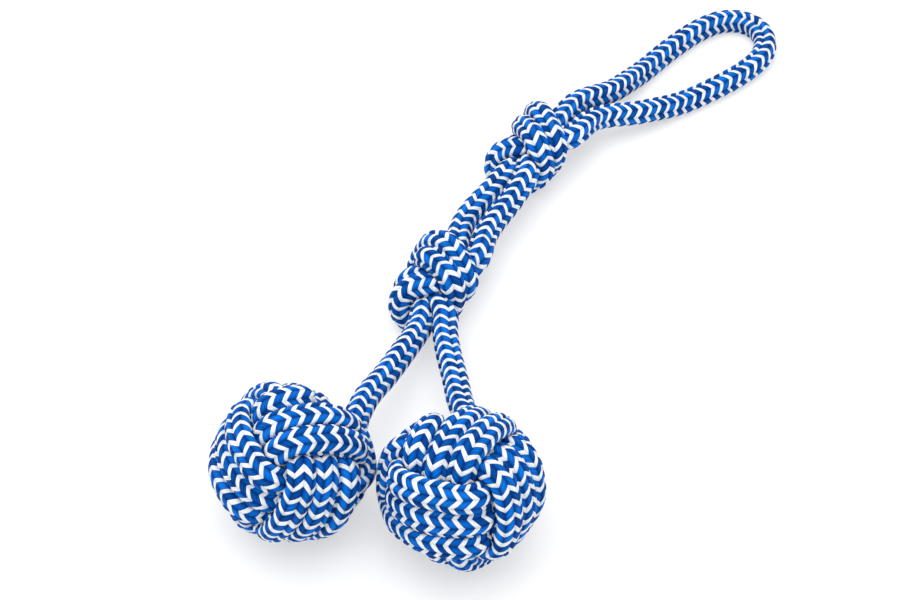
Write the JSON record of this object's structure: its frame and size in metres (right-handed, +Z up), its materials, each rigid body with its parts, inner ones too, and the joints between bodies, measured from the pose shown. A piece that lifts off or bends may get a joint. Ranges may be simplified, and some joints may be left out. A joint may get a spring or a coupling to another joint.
{
  "type": "rope dog toy",
  "caption": "Braided rope tug toy: doubled rope with a hand loop, two doubled overhand knots and two legs that each end in a monkey's fist ball.",
  "frame": {"origin": "middle of the toy's bounding box, at its foot, on the floor that it lies on", "axes": "+Z up from the floor; +Y from the balls towards the hand loop; +X to the right, seen from the balls"},
  "size_m": [0.2222, 0.2854, 0.056],
  "materials": {
    "rope": "blue and white braided polyester-cotton rope",
    "core": "plain moulded ball"
  },
  "bodies": {
    "lower_knot": {"lower_knot_strand_left": "rope", "lower_knot_strand_right": "rope"},
    "neck": {"neck_strand_left": "rope", "neck_strand_right": "rope"},
    "upper_knot": {"upper_knot_strand_left": "rope", "upper_knot_strand_right": "rope", "handle_root_left": "rope", "handle_root_right": "rope"},
    "handle": {"handle_loop": "rope"},
    "leg_left": {"left_leg": "rope"},
    "leg_right": {"right_leg": "rope"},
    "ball_left": {"left_ball_winding": "rope", "left_ball_core": "core"},
    "ball_right": {"right_ball_winding": "rope", "right_ball_core": "core"}
  },
  "joints": [
    {"name": "neck_sway", "type": "hinge", "parent": "lower_knot", "child": "neck", "pos_m": [-0.0155, 0.0155, 0.0136], "axis": [0, 0, 1], "range_deg": [-30, 30], "deforming": ["neck_strand_left", "neck_strand_right"]},
    {"name": "neck_lift", "type": "hinge", "parent": "neck", "child": "upper_knot", "pos_m": [-0.0099, 0.0259, 0.0139], "axis": [0.8875, -0.4608, 0], "range_deg": [-50, 50], "deforming": ["neck_strand_left", "neck_strand_right"]},
    {"name": "handle_fold", "type": "hinge", "parent": "upper_knot", "child": "handle", "pos_m": [0.035, 0.0798, 0.0112], "axis": [0.5446, -0.8387, 0], "range_deg": [-90, 90], "deforming": ["handle_root_left", "handle_root_right"]},
    {"name": "leg_left_sway", "type": "hinge", "parent": "lower_knot", "child": "leg_left", "pos_m": [-0.0449, -0.0475, 0.0159], "axis": [0, 0, -1], "range_deg": [0, 45], "deforming": ["left_leg"]},
    {"name": "ball_left_lift", "type": "hinge", "parent": "leg_left", "child": "ball_left", "pos_m": [-0.0584, -0.0743, 0.0218], "axis": [-0.9849, 0.1734, 0], "range_deg": [-75, 75], "deforming": ["left_leg"]},
    {"name": "leg_right_sway", "type": "hinge", "parent": "lower_knot", "child": "leg_right", "pos_m": [-0.0279, -0.0493, 0.0156], "axis": [0, 0, 1], "range_deg": [0, 45], "deforming": ["right_leg"]},
    {"name": "ball_right_lift", "type": "hinge", "parent": "leg_right", "child": "ball_right", "pos_m": [-0.0232, -0.0769, 0.0213], "axis": [-0.9849, 0.1734, 0], "range_deg": [-75, 75], "deforming": ["right_leg"]}
  ]
}
